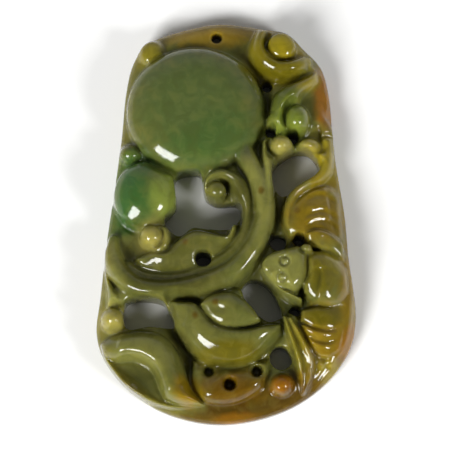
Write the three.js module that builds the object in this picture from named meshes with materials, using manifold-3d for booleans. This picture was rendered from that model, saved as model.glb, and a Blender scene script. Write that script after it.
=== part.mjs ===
// A carved jadeite pendant: one flat-backed tablet with a double gourd, a curling vine, leaves,
// a seed pod and a bat standing proud of a cut-down ground, and five openings cut right through.
// Millimetres. X runs across the face, Y up to the hanging hole, Z out of the flat back at zero.
import * as THREE from "three";
import { mergeVertices } from "three/addons/utils/BufferGeometryUtils.js";
import Module from "manifold-3d";

const wasm = await Module();
wasm.setup();

// The tablet.
const LENGTH = 62;
const WIDTH = 39;
const THICKNESS = 9;
const GROUND = 4;
const RIM_HEIGHT = 2.4;
const RIM_SLOPE = 2.8;
const BACK_ROUNDING = 0.5;

// Stems and vines, by the width of their section.
const VINE_WIDTH = 3.5;
const SCROLL_WIDTH = 2.6;
const STALK_WIDTH = 2;

// Drilled holes, by their diameter.
const HANGING_HOLE = 1.5;
const DRILL = 1.4;
const WIDE_DRILL = 2.3;
const SEED_PIT = 1.7;
const SEED_PIT_DEPTH = 2.2;
const EYE_RING = 1.3;
const EYE_GROOVE = 0.3;

// The carving is drawn on a face of this length and width, from its middle, and keeps its
// proportions as shares of them. A level of 0 is the ground, and 1 is the full thickness.
const DRAWN_LENGTH = 62;
const DRAWN_WIDTH = 39;
const BED = GROUND * 0.4;
const SHOULDER = 0.3;
const WELD = 0.005;
const CLEAR = 1;
const place = ([x, y]) => new THREE.Vector3((x * WIDTH) / DRAWN_WIDTH, (y * LENGTH) / DRAWN_LENGTH, 0);
const level = (share) => GROUND + (THICKNESS - GROUND) * share;

// The value at t, from 0 to 1, of a list of evenly spaced values.
function sample(values, t) {
  const spot = t * (values.length - 1);
  const before = Math.min(Math.floor(spot), values.length - 2);
  return THREE.MathUtils.lerp(values[before], values[before + 1], spot - before);
}

// A smooth line through the drawn points, as steps + 1 places on the face.
function line(points, steps, closed = false) {
  const path = new THREE.CatmullRomCurve3(points.map(place), closed, "centripetal");
  return path.getPoints(steps);
}

// The sideways direction on the face at each point of a line.
function sideways(places, closed = false) {
  const last = places.length - 1;
  return places.map((_, i) => {
    const before = i > 0 ? places[i - 1] : places[closed ? last : 0];
    const after = i < last ? places[i + 1] : places[closed ? 0 : last];
    const along = after.clone().sub(before).normalize();
    return new THREE.Vector3(-along.y, along.x, 0);
  });
}

// A solid from a closed surface, with shared corners merged and its faces pointing out.
function solid(surface) {
  const bare = surface.index ? surface.toNonIndexed() : surface;
  bare.deleteAttribute("normal");
  bare.deleteAttribute("uv");
  const merged = mergeVertices(bare, 1e-4);
  const corners = merged.attributes.position.array;
  const faces = [];
  let volume = 0;
  const [a, b, c] = [new THREE.Vector3(), new THREE.Vector3(), new THREE.Vector3()];
  for (let i = 0; i < merged.index.count; i += 3) {
    const [i0, i1, i2] = merged.index.array.slice(i, i + 3);
    if (i0 === i1 || i1 === i2 || i2 === i0) continue;
    faces.push([i0, i1, i2]);
    [a, b, c].forEach((corner, k) => corner.fromArray(corners, 3 * [i0, i1, i2][k]));
    volume += a.dot(b.cross(c));
  }
  const outward = volume > 0 ? faces : faces.map(([i0, i1, i2]) => [i0, i2, i1]);
  const triVerts = Uint32Array.from(outward.flat());
  return new wasm.Manifold(
    new wasm.Mesh({ numProp: 3, vertProperties: corners, triVerts, tolerance: WELD }),
  );
}

// A surface over rows of points, each row the same count. A row of rings closes on itself, and
// its two ends are capped from their middles.
function skin(rings) {
  const count = rings[0].length;
  const corners = rings.flat();
  const index = [];
  for (let r = 0; r < rings.length - 1; r += 1) {
    for (let i = 0; i < count; i += 1) {
      const [p, q] = [r * count + i, r * count + ((i + 1) % count)];
      index.push(p, q, q + count, p, q + count, p + count);
    }
  }
  for (const [ring, flip] of [[0, true], [rings.length - 1, false]]) {
    const middle = new THREE.Vector3();
    rings[ring].forEach((corner) => middle.addScaledVector(corner, 1 / count));
    const hub = corners.push(middle) - 1;
    for (let i = 0; i < count; i += 1) {
      const [p, q] = [ring * count + i, ring * count + ((i + 1) % count)];
      index.push(...(flip ? [q, p, hub] : [p, q, hub]));
    }
  }
  return new THREE.BufferGeometry().setFromPoints(corners).setIndex(index);
}

// The tablet's edge: the drawn outline, moved in by each inset and lifted to each height.
function tablet(outline, steps, insets) {
  const edge = line(outline, steps, true).slice(0, steps);
  const inward = sideways(edge, true);
  const rings = insets.map(([inset, height]) =>
    edge.map((corner, i) => corner.clone().addScaledVector(inward[i], inset).setZ(height)),
  );
  return solid(skin(rings));
}

// A stem: a section with upright sides and a rounded back, carried along a line. Widths are in
// millimetres and tops are levels, each evenly spaced along it.
function stem(points, widths, tops, steps = 16, arcs = 6) {
  const middle = line(points, steps);
  const across = sideways(middle);
  const rings = middle.map((spot, i) => {
    const half = sample(widths, i / steps) / 2;
    const top = level(sample(tops, i / steps));
    const shoulder = THREE.MathUtils.lerp(GROUND, top, SHOULDER);
    const corner = (offset, height) => spot.clone().addScaledVector(across[i], offset).setZ(height);
    const back = Array.from({ length: arcs + 1 }, (_, k) => {
      const turn = (Math.PI * k) / arcs;
      return corner(half * Math.cos(turn), shoulder + (top - shoulder) * Math.sin(turn));
    });
    return [...back, corner(-half, BED), corner(half, BED)];
  });
  return solid(skin(rings));
}

// A boss: a bead, bulb or disc with upright sides to its shoulder and an oval dome above it.
function boss([x, y], [halfWidth, halfLength], top, shoulder, turn = 0, sides = 12, arcs = 3) {
  const profile = [new THREE.Vector2(0, BED), new THREE.Vector2(1, BED)];
  for (let k = 0; k <= arcs; k += 1) {
    const angle = (Math.PI / 2) * (k / arcs);
    const height = level(shoulder) + (level(top) - level(shoulder)) * Math.sin(angle);
    profile.push(new THREE.Vector2(k === arcs ? 0 : Math.cos(angle), height));
  }
  const dome = new THREE.LatheGeometry(profile, sides).rotateX(Math.PI / 2);
  const spot = place([x, y]);
  const size = place([halfWidth, halfLength]);
  dome.scale(size.x, size.y, 1).rotateZ(turn).translate(spot.x, spot.y, 0);
  return solid(dome);
}

// A blade: a block whose top is stretched over guide lines laid side by side. The levels are
// evenly spaced across them, and are kept by the shares given from one end to the other.
function blade(guides, levels, keep = [1, 1], along = 12, across = 6) {
  const lines = guides.map((guide) => line(guide, along));
  const rings = lines[0].map((_, i) => {
    const kept = sample(keep, i / along);
    const top = Array.from({ length: across + 1 }, (_, k) => {
      const share = k / across;
      const spot = acrossGuides(lines.map((guide) => guide[i]), share);
      return spot.setZ(level(sample(levels, share) * kept));
    });
    return [...top, top[across].clone().setZ(BED), top[0].clone().setZ(BED)];
  });
  return solid(skin(rings));
}

// The place at a share of the way from the first guide's spot to the last one's.
function acrossGuides(spots, share) {
  const walk = share * (spots.length - 1);
  const before = Math.min(Math.floor(walk), spots.length - 2);
  return spots[before].clone().lerp(spots[before + 1], walk - before);
}

// The levels of ribs side by side: each one rises from its groove and falls back to it.
const ribs = (count, groove, crest) => Array.from({ length: count }, () => [groove, crest, crest]).flat();

// An opening cut right through, from its drawn outline.
function opening(points) {
  const steps = 2 * points.length;
  const outline = new THREE.Shape(line(points, steps, true).slice(0, steps));
  const depth = THICKNESS + 2 * CLEAR;
  const cut = new THREE.ExtrudeGeometry(outline, { depth, bevelEnabled: false });
  return solid(cut.translate(0, 0, -CLEAR));
}

// A drilled hole, through unless it stops at a floor.
function drill(point, diameter, floor = -CLEAR, sides = 10) {
  const top = THICKNESS + CLEAR;
  const bit = new THREE.CylinderGeometry(diameter / 2, diameter / 2, top - floor, sides);
  const spot = place(point);
  return solid(bit.rotateX(Math.PI / 2).translate(spot.x, spot.y, (top + floor) / 2));
}

// A ring cut from above with a V-shaped groove, by its middle diameter and its width.
function ringGroove(point, diameter, width, floor, sides = 12) {
  const top = THICKNESS + CLEAR;
  const [inner, middle, outer] = [diameter / 2 - width / 2, diameter / 2, diameter / 2 + width / 2];
  const profile = [
    [middle, floor], [outer, floor + width], [outer, top], [inner, top], [inner, floor + width],
    [middle, floor],
  ];
  const bit = new THREE.LatheGeometry(profile.map(([r, z]) => new THREE.Vector2(r, z)), sides);
  const spot = place(point);
  return solid(bit.rotateX(Math.PI / 2).translate(spot.x, spot.y, 0));
}

// The outline, anticlockwise from the top: narrow above, widening to a round foot.
const OUTLINE = [
  [-0.8, 31], [-5.6, 30.2], [-10.6, 28.6], [-12.6, 27.4], [-14.4, 24.4], [-15.4, 20], [-16, 13],
  [-17, 4.9], [-18.2, -4], [-19, -12.1], [-19.5, -17.2], [-18.3, -21.4], [-14.6, -25.9],
  [-8.6, -29.5], [-0.4, -31], [8.7, -29], [15, -24.8], [18.6, -19.6], [19.5, -14.8],
  [18.6, -7], [18, 0.6], [17.2, 5.8], [16.4, 11.4], [15.8, 19], [14.6, 23.8], [12, 26.8],
  [9.4, 29.4], [5.4, 30.2],
];

function tabletBody() {
  return tablet(OUTLINE, 72, [
    [BACK_ROUNDING, 0],
    [0, BACK_ROUNDING],
    [0, RIM_HEIGHT],
    [RIM_SLOPE / 2, (RIM_HEIGHT + GROUND) / 2 + BACK_ROUNDING / 2],
    [RIM_SLOPE, GROUND],
  ]);
}

// The double gourd: a broad flattened bulb, a small round one and the nubs beside them.
function gourd() {
  return [
    boss([-4.6, 16.3], [10.6, 10.1], 0.8, 0.4, 0, 36, 5),
    boss([-12.1, 3.2], [4.95, 5.3], 0.84, 0.1, 0, 20, 4),
    boss([-14.5, 9.7], [1.7, 1.5], 0.36, 0, 0, 10),
    boss([-11.3, 25.6], [1.9, 2], 0.24, 0, 0, 10),
  ];
}

// The vine that sweeps down from the bulb and round to the left, its forked top, the scroll
// inside it and the stem that falls to a bulb at the left edge.
function vines() {
  const vine = [
    [4.9, 6.4], [5.7, 3.6], [5.9, 1.2], [5.4, -2], [3.8, -5.5], [0.9, -8.7], [-3.2, -10.5],
    [-7, -11.4], [-11, -11.4], [-14, -10.5], [-16.1, -8.3], [-17, -5.8], [-17, -3.4],
  ];
  const leftFork = [[1.8, 11], [3.2, 8.4], [4.3, 6], [5, 3.4], [5.2, 0.8]];
  const rightFork = [[6.6, 11], [6.2, 8.4], [6.3, 5.6], [6.5, 2.6], [6.2, -0.2]];
  const scroll = [
    [-2.7, 3.2], [-2.8, 4.6], [-2.1, 5.8], [-0.4, 6.2], [1.4, 5.5], [2.6, 4], [3.15, 2.1],
    [3.2, 0.1], [2.9, -1.9], [2, -4], [0.6, -5.7],
  ];
  const leftStem = [[-17.6, -6.4], [-17.2, -9.1], [-16.8, -11.6], [-16.6, -14.4]];
  const swell = (shares, width) => shares.map((share) => share * width);
  return [
    stem(vine, swell([0.75, 0.95, 1, 1.15, 1.15, 1, 0.95, 0.5], VINE_WIDTH), [0.7, 0.82, 0.8, 0.72, 0.3], 32),
    stem(leftFork, swell([1.2, 1, 0.85, 0.7], VINE_WIDTH), [0.7, 0.78, 0.82, 0.78], 8),
    stem(rightFork, swell([0.75, 0.55, 0.5, 0.4], VINE_WIDTH), [0.7, 0.76, 0.8, 0.78], 8),
    stem(scroll, swell([0.5, 0.85, 1, 1.15, 1.05, 0.9, 0.7], SCROLL_WIDTH), [0.6, 0.78, 0.78, 0.66, 0.5], 20),
    boss([-1.2, 3.5], [1.5, 1.45], 0.78, 0.45, 0, 12),
    stem(leftStem, swell([0.8, 1, 1.1], STALK_WIDTH), [0.3, 0.44, 0.5], 6),
    boss([-16.8, -15.7], [1.95, 1.9], 0.6, 0.1, 0, 12),
  ];
}

// The waved leaf inside the vine, with the curled bead at its root.
function wavedLeaf() {
  const upper = [
    [-13.6, -6.4], [-11, -5.4], [-9, -5.4], [-7.7, -4], [-6.3, -2.8], [-4.7, -2.1], [-3, -2.3],
    [-1.2, -2.8], [0, -3], [0.5, -2], [0.8, -1.1],
  ];
  const lower = [
    [-13.8, -7.4], [-12.4, -8.5], [-10, -8.9], [-6.8, -8.8], [-4, -7.9], [-2, -6.8], [-0.4, -5.6],
    [1, -4.2], [1.7, -2.8], [1.9, -1.3],
  ];
  return [
    blade([upper, lower], [0.3, 0.62, 0.66, 0.56, 0.42, 0.2], [0.6, 0.9, 1, 1, 0.9], 12, 5),
    boss([-9.8, -3.8], [1.8, 2.3], 0.68, 0.3, 0, 10),
    boss([-11.2, -3.3], [1.75, 1.7], 0.76, 0.4, 0, 12),
  ];
}

// The crescent leaf at the top right and its bead, the leaf below it that folds down to a lobe,
// and the ridge, the buds and the stalk that run down the right side.
function crownLeaves() {
  const crescentOuter = [
    [4.4, 29.2], [3.6, 26.9], [3.4, 25.2], [4.1, 23.7], [5.3, 22.2], [7, 21.1], [9.2, 21],
    [11.2, 21.6], [13, 23],
  ];
  const crescentInner = [
    [6.8, 28.8], [5.7, 27], [5.9, 25.9], [6.8, 24.8], [8, 24.1], [9.4, 24], [10.8, 24.5],
    [12, 24.8], [13, 24.6],
  ];
  const foldOuter = [
    [13.9, 22.6], [12.4, 21.4], [10.4, 20.4], [8.6, 19.8], [7.4, 18.5], [6.9, 16.8], [6.9, 15],
  ];
  const foldInner = [
    [14, 21.4], [12.6, 20], [11.4, 18.8], [10.6, 18], [10.2, 17], [9.8, 15.8], [9.4, 14.4],
  ];
  const ridge = [[14.4, 20.4], [14.1, 18.6], [13.8, 16.8], [14.3, 15.2], [15.2, 13.4], [15.3, 10.8]];
  const stalk = [
    [15.3, 11.6], [15.3, 9.4], [15, 7.4], [13.8, 5.8], [11.8, 4.5], [10.1, 3], [9.3, 1],
    [9.1, -1.2],
  ];
  return [
    blade([crescentOuter, crescentInner], [0.2, 0.5, 0.62, 0.64, 0.46], [0.6, 1, 1, 1, 0.6], 14, 4),
    boss([8.4, 26.1], [2, 1.95], 0.54, 0.1, 0, 12),
    blade([foldOuter, foldInner], [0.3, 0.56, 0.68, 0.64, 0.4], [0.7, 0.9, 1, 1, 0.9], 10, 4),
    boss([8, 14.6], [1.9, 2], 0.72, 0.2, 0, 12),
    boss([10.8, 14.7], [1.9, 2.4], 0.82, 0.3, 0, 12),
    stem(ridge, [STALK_WIDTH * 0.5, STALK_WIDTH * 0.6, STALK_WIDTH], [0.2, 0.34, 0.5], 10),
    stem(stalk, [STALK_WIDTH, STALK_WIDTH, STALK_WIDTH * 0.8], [0.5, 0.65, 0.55], 14),
    boss([12.5, 10.8], [1.85, 1.35], 0.62, 0.2, 0, 10),
    boss([8.3, 10.6], [1.9, 1.85], 0.84, 0.4, 0, 12),
  ];
}

// The bat's wings: a ribbed upper wing with a folded edge, three shrinking folds below the body,
// and the ridge that joins them along the right side.
function wings() {
  const upperTop = [[9, -1.4], [9.6, 1.4], [11.2, 3.3], [13.4, 4.6], [15.6, 4.7], [17, 3.4]];
  const upperFoot = [[9.2, -2.4], [10, -3.4], [12, -4], [14.2, -4], [16.2, -4.2], [17.6, -3.6]];
  const foldTop = [[11.8, -3], [13.2, -2.1], [14.8, -1.9], [16.2, -2.5], [17.5, -3.4]];
  const foldFoot = [[12, -4.6], [13.4, -5.3], [14.8, -5.8], [16.2, -6.2], [17.4, -6]];
  const lowerFolds = [
    [[[11, -14.3], [13, -14], [15.6, -14], [17.8, -13.4]], 0.6],
    [[[11, -16.4], [13.2, -17.1], [15.6, -17.3], [17.5, -16.6]], 0.58],
    [[[11.8, -18], [13.4, -18.9], [15.4, -19], [17.2, -18]], 0.5],
    [[[12.4, -19.8], [13.8, -21.1], [15.2, -21.2], [16.8, -20]], 0],
  ];
  const edge = [
    [17.5, -5.6], [18, -8.4], [18.1, -11], [17.9, -14], [17.5, -17], [16.8, -19.6], [15.4, -21.8],
  ];
  const folds = lowerFolds.slice(0, -1).map(([top, crest], i) => {
    const levels = [crest * 0.8, crest, crest, crest * 0.7];
    return blade([top, lowerFolds[i + 1][0]], levels, [0.85, 1, 1, 0.8], 6, 3);
  });
  return [
    blade([upperTop, upperFoot], [0.42, ...ribs(3, 0.5, 0.62), 0.5], [0.9, 1, 1, 0.96, 0.6], 8, 14),
    blade([foldTop, foldFoot], [0.62, 0.78, 0.7, 0.5], [0.9, 1, 1, 0.8], 6, 3),
    ...folds,
    stem(edge, [STALK_WIDTH * 0.4, STALK_WIDTH * 0.55, STALK_WIDTH * 0.35], [0.3, 0.42, 0.34, 0.2], 10),
  ];
}

// The bat's round body, its head, its jaw and its ear.
function bat() {
  const bodyTop = [[11.4, -6.6], [12.8, -5.6], [14.6, -5.5], [16.6, -6.4], [18, -8.2]];
  const bodyFoot = [[11.4, -12], [13, -13.3], [15.2, -13.8], [16.8, -13.2], [18.1, -11.6]];
  const headTop = [
    [5.2, -7.3], [6, -6.2], [7.6, -5.5], [9.4, -5.1], [10.8, -4.9], [11.8, -5.8], [12, -7.4],
  ];
  const headFoot = [
    [5.1, -8.2], [5.9, -9.7], [7.2, -10.8], [8.8, -11.8], [10.2, -12], [11.3, -10.9], [12, -9.4],
  ];
  const jawTop = [[6.8, -10.4], [8.2, -11.4], [9.8, -12.1], [11.4, -12.7]];
  const jawFoot = [[7, -10.9], [8.4, -12.2], [9.8, -13.1], [11.2, -13.6]];
  return [
    blade([bodyTop, bodyFoot], [0.6, 0.84, 0.97, 1, 0.96, 0.84, 0.56], [0.84, 0.98, 1, 0.96, 0.7], 8, 8),
    blade([headTop, headFoot], [0.7, 0.88, 0.93, 0.93, 0.88, 0.7], [0.78, 0.92, 1, 1, 0.94], 8, 5),
    blade([jawTop, jawFoot], [0.68, 0.78, 0.6], [0.9, 1, 0.94, 0.8], 4, 2),
    boss([11.9, -5.4], [1, 0.8], 0.88, 0.6, -0.4, 8),
  ];
}

// The lower leaves: the crescent with its almond leaf, the blade beside the lower wing, and the
// broad leaf at the foot's left side, whose outer half is scooped out.
function lowerLeaves() {
  const crescentOuter = [
    [-8.5, -13.3], [-8.2, -15.8], [-7.2, -18], [-5.6, -20.3], [-3.8, -21.8], [-1.4, -22.7],
    [1.2, -22.9], [4.2, -21.9], [6.4, -20.1], [8.2, -18], [8.3, -16.6],
  ];
  const crescentInner = [
    [-8.2, -12.9], [-6.4, -13], [-4.6, -13.2], [-3.4, -14.4], [-2.2, -16], [0.6, -17],
    [3.4, -17], [6, -16.3], [8.1, -16.3],
  ];
  const almondTop = [
    [-4, -13.7], [-2.6, -12.5], [-0.8, -12], [0.8, -12], [2.4, -12.7], [3.9, -14], [5.2, -16],
  ];
  const almondFoot = [
    [-3.9, -14], [-2.8, -15.6], [-1.2, -16.8], [0.8, -17.2], [2.8, -17.1], [4.4, -16.7],
    [5.2, -16.3],
  ];
  const bladeLeft = [[8.1, -15], [8.7, -17.4], [9.5, -20], [10.2, -22.6], [10.9, -25], [11.2, -26.6]];
  const bladeRight = [
    [9.7, -15.4], [11.2, -18], [12.5, -20.2], [13.2, -21.8], [12.8, -24], [11.6, -26.6],
  ];
  const leafTop = [
    [-18.6, -19.2], [-17, -18], [-14.6, -17.4], [-12.4, -17.2], [-10.4, -17.5], [-8.6, -18.5],
    [-7.3, -20.2], [-6.4, -22.4], [-5.6, -24.8], [-4.8, -26.6], [-3.2, -28.3],
  ];
  const leafCrest = [
    [-18.1, -20.6], [-16.2, -21.4], [-14.2, -21.2], [-12.4, -21.6], [-10.9, -22.5],
    [-9.9, -24.1], [-9.3, -25.8], [-8.5, -27.2], [-6.6, -28.2], [-3.4, -28.5],
  ];
  const leafFoot = [
    [-17.8, -21.4], [-16.6, -23.4], [-14.8, -25.5], [-12.6, -27.1], [-10.4, -28.1],
    [-8.6, -28.6], [-6.4, -28.7], [-3.6, -28.7],
  ];
  return [
    blade([crescentOuter, crescentInner], [0.3, 0.66, 0.84, 0.88, 0.7], [0.8, 1, 1, 1, 0.7], 16, 5),
    blade([almondTop, almondFoot], [0.66, 0.88, 0.94, 0.88, 0.7], [0.9, 1, 1, 0.97, 0.9], 10, 4),
    blade([bladeLeft, bladeRight], [0.4, 0.66, 0.46, 0.62, 0.36], [1, 1, 0.96, 0.8, 0.4], 8, 4),
    blade(
      [leafTop, leafCrest, leafFoot],
      [0.3, 0.58, 0.68, 0.68, 0.5, 0.14, 0.06, 0.06, 0.1],
      [0.6, 0.9, 1, 1, 1, 0.85, 0.6],
      16,
      8,
    ),
  ];
}

// The seed pod at the foot, and the bead beside it.
function seedPod() {
  const top = [[-4.9, -21.6], [-2.4, -21.6], [1, -22.4], [4, -21.8], [6.6, -21.4]];
  const foot = [
    [-5.2, -24.2], [-4.8, -26.2], [-3.6, -27.7], [-1.2, -28.3], [1.4, -28.1], [3.6, -27.2],
    [5.3, -26], [6.4, -23.8],
  ];
  return [
    blade([top, foot], [0.14, 0.3, 0.4, 0.42, 0.2], [0.5, 0.9, 1, 1, 0.8], 10, 5),
    boss([8.2, -25.4], [1.85, 1.75], 0.46, 0.1, 0, 12),
  ];
}

// The openings cut right through between the stems, and the round hole beside the pod.
function openings() {
  const middle = [
    [-7.6, 6.2], [-5.5, 7], [-4, 6.8], [-3.6, 4.6], [-3.1, 3.1], [-1.4, 2.1], [1.6, 2.1],
    [2.2, 0.6], [0.8, -1.5], [-2.8, -1.6], [-5, -1.4], [-7.2, -2.7], [-9.2, -0.5], [-7.5, 1.8],
  ];
  const upperRight = [
    [7.1, 7.4], [7.1, 5.6], [8.4, 3.4], [10.3, 4.6], [12.4, 5.8], [13.9, 7.8], [12.6, 10],
    [10.4, 10.2], [8.3, 9],
  ];
  const lowerLeft = [
    [-14.8, -12.9], [-9.6, -12.9], [-8.6, -14.4], [-7.9, -16.5], [-11.4, -16.4], [-14.8, -16.7],
  ];
  const slanted = [
    [2.4, -11], [3.6, -9.5], [5.6, -10], [7.7, -13], [8.1, -15], [6.4, -15.7], [4.4, -14.3],
  ];
  const round = [
    [6.5, -21.2], [7.1, -19.9], [8.4, -19.5], [9.4, -20.6], [9.6, -22], [8.4, -22.9],
    [7.1, -22.5],
  ];
  return [middle, upperRight, lowerLeft, slanted, round].map((outline) => opening(outline));
}

// The drilled holes, the shallow seed pits and the ring cut round each eye.
function drilledHoles() {
  const narrow = [[10.2, -14.3], [10.9, -3.5], [6.2, 20.5], [6.7, 13.3], [10.1, 12.3]];
  const wide = [[7.8, -3.7], [-3.4, -6.6]];
  const seeds = [[-2.6, -23.3], [0.5, -25.3], [4.5, -23.3]];
  const eyes = [[8.6, -7.4], [8.2, -9.8]];
  const rings = eyes.map((eye) => ringGroove(eye, EYE_RING, EYE_GROOVE, level(0.8)));
  return [
    drill([-1.5, 28.2], HANGING_HOLE),
    ...narrow.map((spot) => drill(spot, DRILL)),
    ...wide.map((spot) => drill(spot, WIDE_DRILL)),
    ...seeds.map((spot) => drill(spot, SEED_PIT, level(0.4) - SEED_PIT_DEPTH)),
    ...rings,
  ];
}

// The whole pendant as one carved solid.
function pendantGeometry() {
  const motifs = [
    gourd(), vines(), wavedLeaf(), crownLeaves(), wings(), bat(), lowerLeaves(), seedPod(),
  ];
  const carved = motifs.flat().reduce((block, motif) => block.add(motif), tabletBody());
  const cut = [...openings(), ...drilledHoles()].reduce((block, tool) => block.subtract(tool), carved);
  const { vertProperties, triVerts } = cut.getMesh();
  const geometry = new THREE.BufferGeometry();
  geometry.setAttribute("position", new THREE.BufferAttribute(vertProperties, 3));
  geometry.setIndex(new THREE.BufferAttribute(triVerts, 1));
  geometry.computeVertexNormals();
  return geometry;
}

const jade = new THREE.MeshStandardMaterial({ color: 0x66703a, roughness: 0.15, metalness: 0 });
const pendant = new THREE.Mesh(pendantGeometry(), jade);
pendant.name = "jade_pendant";

const model = new THREE.Group();
model.add(pendant);
export default model;
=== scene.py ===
import math

import bpy
import numpy as np
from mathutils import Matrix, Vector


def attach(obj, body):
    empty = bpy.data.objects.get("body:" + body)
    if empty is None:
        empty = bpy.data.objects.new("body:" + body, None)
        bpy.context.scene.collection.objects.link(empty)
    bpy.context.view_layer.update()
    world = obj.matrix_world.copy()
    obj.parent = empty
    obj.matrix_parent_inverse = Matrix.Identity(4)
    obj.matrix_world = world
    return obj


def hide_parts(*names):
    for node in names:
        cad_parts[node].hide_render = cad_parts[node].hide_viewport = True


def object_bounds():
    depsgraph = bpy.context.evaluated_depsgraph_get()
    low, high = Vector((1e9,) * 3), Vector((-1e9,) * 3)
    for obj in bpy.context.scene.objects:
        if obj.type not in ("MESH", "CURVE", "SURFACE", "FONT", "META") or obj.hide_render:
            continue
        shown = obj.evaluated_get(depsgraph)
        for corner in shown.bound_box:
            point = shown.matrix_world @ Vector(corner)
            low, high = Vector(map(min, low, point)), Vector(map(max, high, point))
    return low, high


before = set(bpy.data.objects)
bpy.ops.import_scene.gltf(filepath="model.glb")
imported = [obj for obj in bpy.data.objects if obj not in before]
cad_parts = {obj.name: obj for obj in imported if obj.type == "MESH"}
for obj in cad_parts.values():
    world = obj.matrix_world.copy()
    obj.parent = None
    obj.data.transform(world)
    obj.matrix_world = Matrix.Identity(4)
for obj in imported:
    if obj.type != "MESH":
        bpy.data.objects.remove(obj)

cad_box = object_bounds()

# The blank.
# A tablet sawn from jadeite, flat behind and cut down in front to an even ground. Its rim falls
# away to a thin edge. Everything below is worked in millimetres on a map of the face's height.
MM = 0.001
(LEFT, FOOT, BACK), (RIGHT, HEAD, CROWN) = [[value / MM for value in corner] for corner in cad_box]
WIDTH = RIGHT - LEFT
LENGTH = HEAD - FOOT
THICKNESS = CROWN - BACK
GROUND = 0.44 * THICKNESS
RIM_HEIGHT = 0.27 * THICKNESS
RIM_SLOPE = 3.2
BACK_ROUNDING = 0.5
# The map's grid step and the empty border round it.
GRAIN = 0.1
MARGIN = 1.0
# Steps of a closed spline for each of its points.
LOOP_STEPS = 6
# The carving is drawn on a face of this size, and its points keep their shares of it.
DRAWN = np.array((39.0, 62.0))
OUTLINE = (
    (-0.8, 31), (-5.6, 30.2), (-10.6, 28.6), (-12.6, 27.4), (-14.4, 24.4), (-15.4, 20), (-16, 13),
    (-17, 4.9), (-18.2, -4), (-19, -12.1), (-19.5, -17.2), (-18.3, -21.4), (-14.6, -25.9),
    (-8.6, -29.5), (-0.4, -31), (8.7, -29), (15, -24.8), (18.6, -19.6), (19.5, -14.8),
    (18.6, -7), (18, 0.6), (17.2, 5.8), (16.4, 11.4), (15.8, 19), (14.6, 23.8), (12, 26.8),
    (9.4, 29.4), (5.4, 30.2),
)

xs = np.arange(LEFT - MARGIN, RIGHT + MARGIN, GRAIN)
ys = np.arange(FOOT - MARGIN, HEAD + MARGIN, GRAIN)
X, Y = np.meshgrid(xs, ys, indexing="ij")


def level(share):
    """A height from its share of the way from the ground, 0, to the full thickness, 1."""
    return GROUND + (THICKNESS - GROUND) * np.asarray(share, float)


def place(points):
    """Drawn points moved to the real face, each by its share of the drawn width and length."""
    return np.asarray(points, float) / DRAWN * (WIDTH, LENGTH)


def spline(points, steps, closed=False):
    """A centripetal Catmull-Rom line through the points: on each stretch, a cubic whose end
    slopes come from the points on either side, timed by the square roots of their distances."""
    knots = np.asarray(points, float)
    if closed:
        padded = np.vstack((knots[-1:], knots, knots[:2]))
    else:
        padded = np.vstack((2 * knots[0] - knots[1], knots, 2 * knots[-1] - knots[-2]))
    spans = len(padded) - 3
    walk = np.linspace(0, spans, steps + 1)
    span = np.minimum(walk.astype(int), spans - 1)
    t = (walk - span)[:, None]
    before, start, end, after = (padded[span + k] for k in range(4))
    time_in, time_on, time_out = (
        np.sqrt(np.linalg.norm(b - a, axis=1))[:, None]
        for a, b in ((before, start), (start, end), (end, after))
    )
    pace_in = (start - before) / time_in
    pace_on = (end - start) / time_on
    pace_out = (after - end) / time_out
    slope_in = (pace_in - (end - before) / (time_in + time_on) + pace_on) * time_on
    slope_out = (pace_on - (after - start) / (time_on + time_out) + pace_out) * time_on
    line = (
        start * (2 * t**3 - 3 * t**2 + 1) + slope_in * (t**3 - 2 * t**2 + t)
        + end * (3 * t**2 - 2 * t**3) + slope_out * (t**3 - t**2)
    )
    return line[:-1] if closed else line


def follow(line, window, closed=False):
    """How far each map point in the window is from a line, and its share of the way along it:
    the least over the line's pieces, each measured to its nearest point."""
    ends = np.roll(line, -1, axis=0) if closed else line[1:]
    starts = line if closed else line[:-1]
    steps = ends - starts
    lengths = np.linalg.norm(steps, axis=1)
    gone = np.concatenate(((0,), np.cumsum(lengths))) / lengths.sum()
    x, y = X[window], Y[window]
    distance = np.full(x.shape, np.inf)
    share = np.zeros(x.shape)
    for k, (start, step) in enumerate(zip(starts, steps)):
        walk = np.clip(((x - start[0]) * step[0] + (y - start[1]) * step[1]) / (step @ step), 0, 1)
        off = np.hypot(x - start[0] - walk * step[0], y - start[1] - walk * step[1])
        closer = off < distance
        distance = np.where(closer, off, distance)
        share = np.where(closer, gone[k] + walk * (gone[k + 1] - gone[k]), share)
    return distance, share


def inside(loop, window):
    """Whether each map point lies in a closed loop: a ray from it crosses the loop an odd number
    of times."""
    x, y = X[window], Y[window]
    odd = np.zeros(x.shape, bool)
    for (ax, ay), (bx, by) in zip(loop, np.roll(loop, -1, axis=0)):
        if ay != by:
            odd ^= ((y < ay) != (y < by)) & (x < ax + (y - ay) * (bx - ax) / (by - ay))
    return odd


def edge_of(loop, window):
    """Signed distance to a closed loop, negative inside."""
    distance, _ = follow(loop, window, closed=True)
    return np.where(inside(loop, window), -distance, distance)


def around(line, reach):
    """The window of the map within reach of a line."""
    low, high = line.min(axis=0) - reach, line.max(axis=0) + reach
    columns = np.searchsorted(xs, (low[0], high[0]))
    rows = np.searchsorted(ys, (low[1], high[1]))
    return slice(*columns), slice(*rows)


def soft_step(value):
    """0 below 0, 1 above 1, and an even curve between."""
    t = np.clip(value, 0, 1)
    return t * t * (3 - 2 * t)


everywhere = (slice(None), slice(None))
rim_edge = edge_of(spline(place(OUTLINE), LOOP_STEPS * len(OUTLINE), closed=True), everywhere)
# The rim's profile is half a parabola, level where it meets the ground.
face = GROUND - (GROUND - RIM_HEIGHT) * (1 - np.clip(-rim_edge / RIM_SLOPE, 0, 1)) ** 2
blank = face.copy()

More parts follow.
